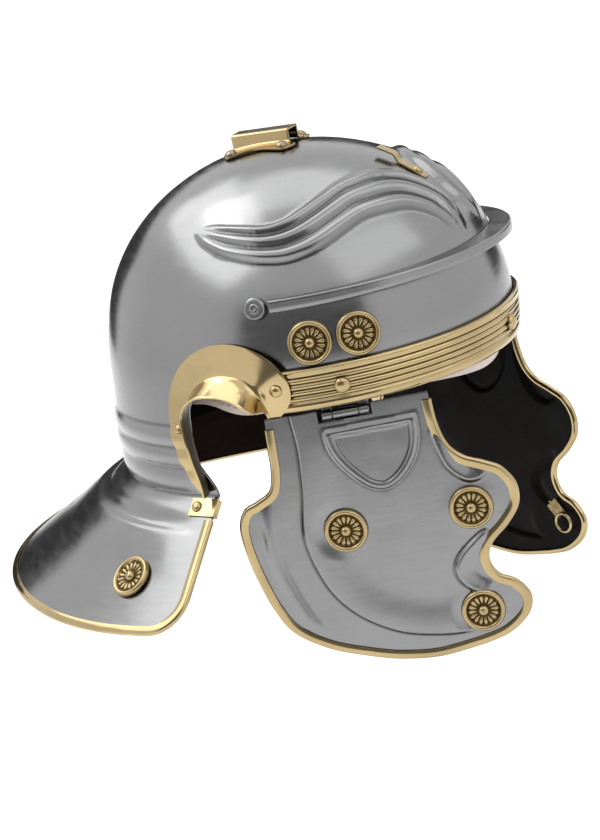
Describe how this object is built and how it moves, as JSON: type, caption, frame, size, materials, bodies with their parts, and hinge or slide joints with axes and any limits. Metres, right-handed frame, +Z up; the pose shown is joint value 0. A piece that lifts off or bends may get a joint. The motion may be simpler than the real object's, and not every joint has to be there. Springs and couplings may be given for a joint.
{
  "type": "roman legionary helmet",
  "caption": "Open-faced military helmet: domed steel bowl with brow peak, sloping neck guard, ear guards, brass brow band and edging, and two hinged cheek guards.",
  "frame": {"origin": "middle of the head opening, level with the lower edge of the brow band", "axes": "+Z up as worn with the brow band level, the wearer faces -Y, +X is the wearer's left"},
  "size_m": [0.3234, 0.3377, 0.2863],
  "materials": {
    "bowl_steel": "polished steel with soft broad highlights",
    "guard_steel": "polished steel with fine rub marks",
    "fittings_steel": "polished steel, dark in the corners",
    "band_brass": "polished brass, browned between the ridges",
    "ear_guard_brass": "polished brass sheet with warm patches",
    "edging_brass": "satin brass strip, browned along the folds",
    "rosette_brass": "pressed brass, dark in the hollows",
    "fittings_brass": "polished brass",
    "liner": "pale undyed leather"
  },
  "bodies": {
    "helmet": {"skull": "bowl_steel", "neck_trim": "edging_brass", "neck_clip_right": "edging_brass", "neck_clip_left": "edging_brass", "brow_band": "band_brass", "brow_peak": "fittings_steel", "ear_guard_right": "ear_guard_brass", "ear_guard_left": "ear_guard_brass", "bowl_rosette_1_right": "rosette_brass", "bowl_rosette_1_left": "rosette_brass", "bowl_rosette_2_right": "rosette_brass", "bowl_rosette_2_left": "rosette_brass", "neck_rosette_right": "rosette_brass", "neck_rosette_left": "rosette_brass", "band_rivet_right": "fittings_brass", "band_rivet_left": "fittings_brass", "band_rivet_front": "fittings_brass", "ear_rivet_front_right": "fittings_brass", "ear_rivet_front_left": "fittings_brass", "ear_rivet_back_right": "fittings_brass", "ear_rivet_back_left": "fittings_brass", "clip_rivet_right": "fittings_brass", "clip_rivet_left": "fittings_brass", "peak_end_right": "fittings_steel", "peak_end_left": "fittings_steel", "crest_box": "fittings_brass", "crest_rivet_front_right": "fittings_brass", "crest_rivet_front_left": "fittings_brass", "crest_rivet_back_right": "fittings_brass", "crest_rivet_back_left": "fittings_brass", "crest_hook": "fittings_brass", "hook_rivet": "fittings_brass", "liner": "liner", "hinge_upper_right": "fittings_steel", "hinge_upper_left": "fittings_steel", "hinge_pin_right": "fittings_steel", "hinge_pin_left": "fittings_steel"},
    "right_guard": {"cheek_right": "guard_steel", "cheek_trim_right": "edging_brass", "hinge_lower_right": "fittings_steel", "lace_tab_right": "fittings_brass", "lace_ring_right": "fittings_brass", "cheek_rosette_1_right": "rosette_brass", "cheek_rosette_2_right": "rosette_brass", "cheek_rosette_3_right": "rosette_brass"},
    "left_guard": {"cheek_left": "guard_steel", "cheek_trim_left": "edging_brass", "hinge_lower_left": "fittings_steel", "lace_tab_left": "fittings_brass", "lace_ring_left": "fittings_brass", "cheek_rosette_1_left": "rosette_brass", "cheek_rosette_2_left": "rosette_brass", "cheek_rosette_3_left": "rosette_brass"}
  },
  "joints": [
    {"name": "right_cheek_hinge", "type": "hinge", "parent": "helmet", "child": "right_guard", "pos_m": [-0.08353, -0.049, -0.0065], "axis": [-0.3285, 0.9445, 0], "range_deg": [-25, 90]},
    {"name": "left_cheek_hinge", "type": "hinge", "parent": "helmet", "child": "left_guard", "pos_m": [0.08353, -0.049, -0.0065], "axis": [-0.3285, -0.9445, 0], "range_deg": [-21.5, 93.5]}
  ]
}
